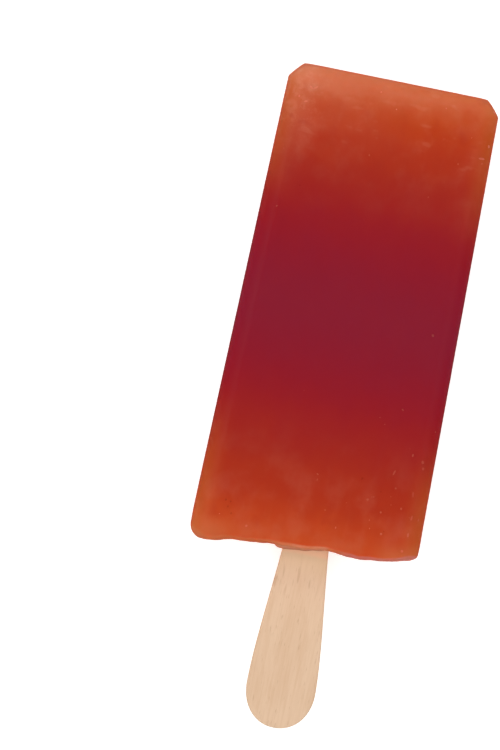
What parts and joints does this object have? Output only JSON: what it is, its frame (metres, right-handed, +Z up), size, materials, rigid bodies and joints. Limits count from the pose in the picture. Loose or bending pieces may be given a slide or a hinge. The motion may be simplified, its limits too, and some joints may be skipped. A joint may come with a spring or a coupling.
{
  "type": "ice lolly",
  "caption": "Flat, tapered fruit ice lolly with rounded edges and an uneven frozen end, lying on its back on a wooden paddle stick that reaches deep into the ice.",
  "frame": {"origin": "middle of the footprint on the surface that the lolly lies on: halfway along its whole length with the stick, and halfway across its width", "axes": "+Y along the lolly towards the frozen bar's tip, with the stick's hand end at -Y; X across its width; +Z up, out of the front face, from the back face at z = 0"},
  "size_m": [0.0558, 0.16, 0.0236],
  "materials": {
    "fruit_ice": "wet satin fruit ice, orange red at the ends and crimson in the middle",
    "birch": "bare pale birch, smooth, grain along its length"
  },
  "bodies": {
    "root": {"frozen_bar": "fruit_ice", "stick": "birch"}
  },
  "joints": []
}
